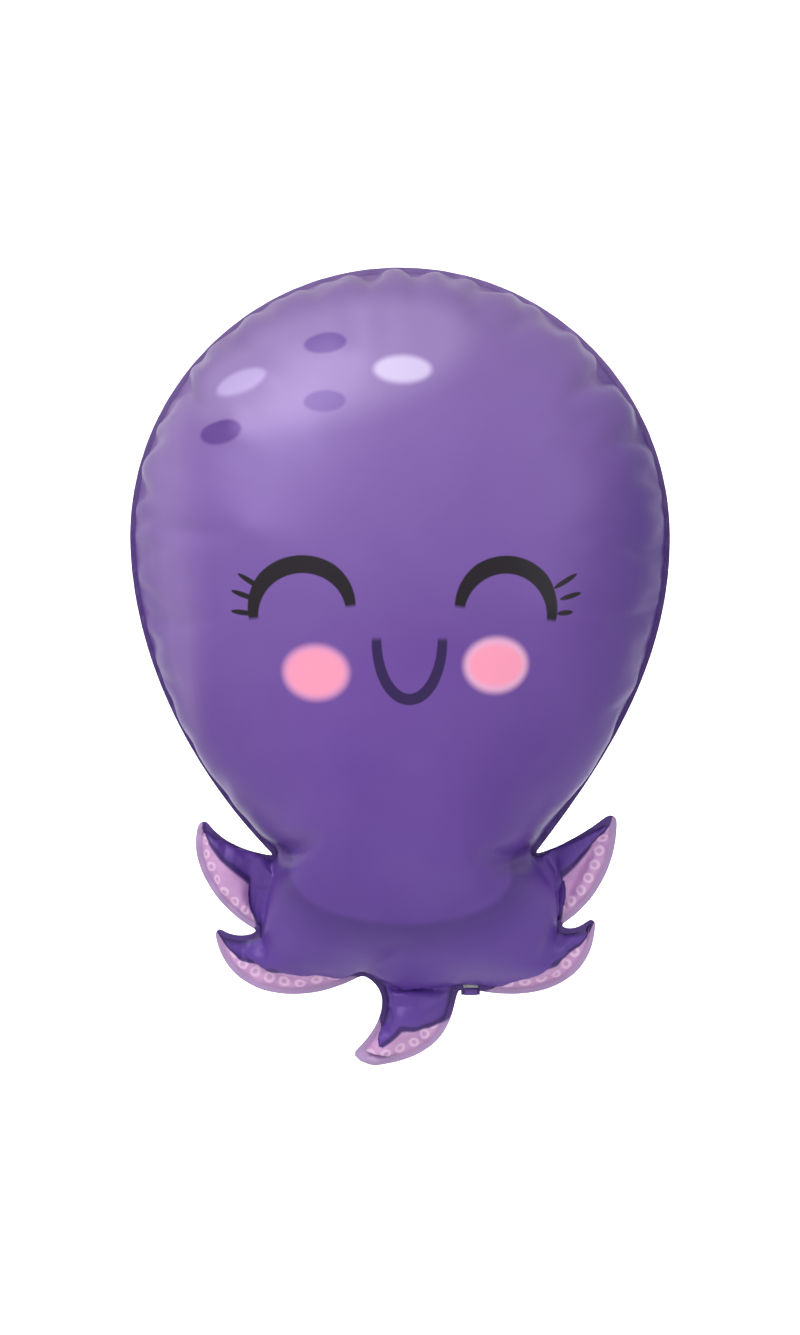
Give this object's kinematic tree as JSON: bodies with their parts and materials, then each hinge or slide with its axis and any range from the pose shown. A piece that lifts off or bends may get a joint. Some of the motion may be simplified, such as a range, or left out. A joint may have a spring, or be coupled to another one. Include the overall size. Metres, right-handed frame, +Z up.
{
  "type": "octopus foil balloon",
  "caption": "Inflated foil balloon shaped as a smiling octopus: a round puffed head, a skirt, flexing tentacle lobes, a sealed rim and a folding fill tail with a tie hole.",
  "frame": {"origin": "centre of the inflated balloon's box, which lies in the plane of the heat seal", "axes": "+Z up through the crown of the head, -Y is the way the face looks, +X to the viewer's right"},
  "size_m": [0.513, 0.3, 0.7589],
  "materials": {
    "printed_foil": "glossy printed metallised film",
    "sealed_rim": "glossy, crimped by the heat seal",
    "silver_foil": "bare metallised film",
    "valve_film": "milky polyethylene film"
  },
  "bodies": {
    "head": {"head_front_film": "printed_foil", "head_back_film": "printed_foil", "skirt_front_film": "printed_foil", "skirt_back_film": "printed_foil", "head_seal_band": "sealed_rim", "tail_neck": "printed_foil", "valve_front_film": "valve_film", "valve_back_film": "valve_film", "valve_side_welds": "valve_film"},
    "upper_left_tentacle": {"upper_left_front_film": "printed_foil", "upper_left_back_film": "printed_foil", "upper_left_seal_band": "sealed_rim"},
    "lower_left_tentacle": {"lower_left_front_film": "printed_foil", "lower_left_back_film": "printed_foil", "lower_left_seal_band": "sealed_rim"},
    "bottom_tentacle": {"bottom_front_film": "printed_foil", "bottom_back_film": "printed_foil", "bottom_seal_band": "sealed_rim"},
    "lower_right_tentacle": {"lower_right_front_film": "printed_foil", "lower_right_back_film": "printed_foil", "lower_right_seal_band": "sealed_rim"},
    "upper_right_tentacle": {"upper_right_front_film": "printed_foil", "upper_right_back_film": "printed_foil", "upper_right_seal_band": "sealed_rim"},
    "fill_tail": {"tail_front_leaf": "printed_foil", "tail_back_leaf": "silver_foil", "tail_side_welds": "sealed_rim"}
  },
  "joints": [
    {"name": "upper_left_flex", "type": "hinge", "parent": "head", "child": "upper_left_tentacle", "pos_m": [-0.1275, 0, -0.21425], "axis": [0.2053, 0, 0.9787], "range_deg": [-18, 18], "stiffness_Nm_per_rad": 0.01},
    {"name": "lower_left_flex", "type": "hinge", "parent": "head", "child": "lower_left_tentacle", "pos_m": [-0.0855, 0, -0.271], "axis": [-0.9206, 0, 0.3905], "range_deg": [-15, 15], "stiffness_Nm_per_rad": 0.01},
    {"name": "bottom_flex", "type": "hinge", "parent": "head", "child": "bottom_tentacle", "pos_m": [0.01, 0, -0.299], "axis": [-0.9886, 0, 0.1504], "range_deg": [-18, 18], "stiffness_Nm_per_rad": 0.01},
    {"name": "lower_right_flex", "type": "hinge", "parent": "head", "child": "lower_right_tentacle", "pos_m": [0.115, 0, -0.27625], "axis": [-0.764, 0, -0.6452], "range_deg": [-15, 15], "stiffness_Nm_per_rad": 0.01},
    {"name": "upper_right_flex", "type": "hinge", "parent": "head", "child": "upper_right_tentacle", "pos_m": [0.14, 0, -0.211], "axis": [0.3328, 0, -0.943], "range_deg": [-18, 18], "stiffness_Nm_per_rad": 0.01},
    {"name": "tail_fold", "type": "hinge", "parent": "head", "child": "fill_tail", "pos_m": [0.067, 0, -0.3107], "axis": [-1, 0, 0], "range_deg": [0, 115]}
  ]
}
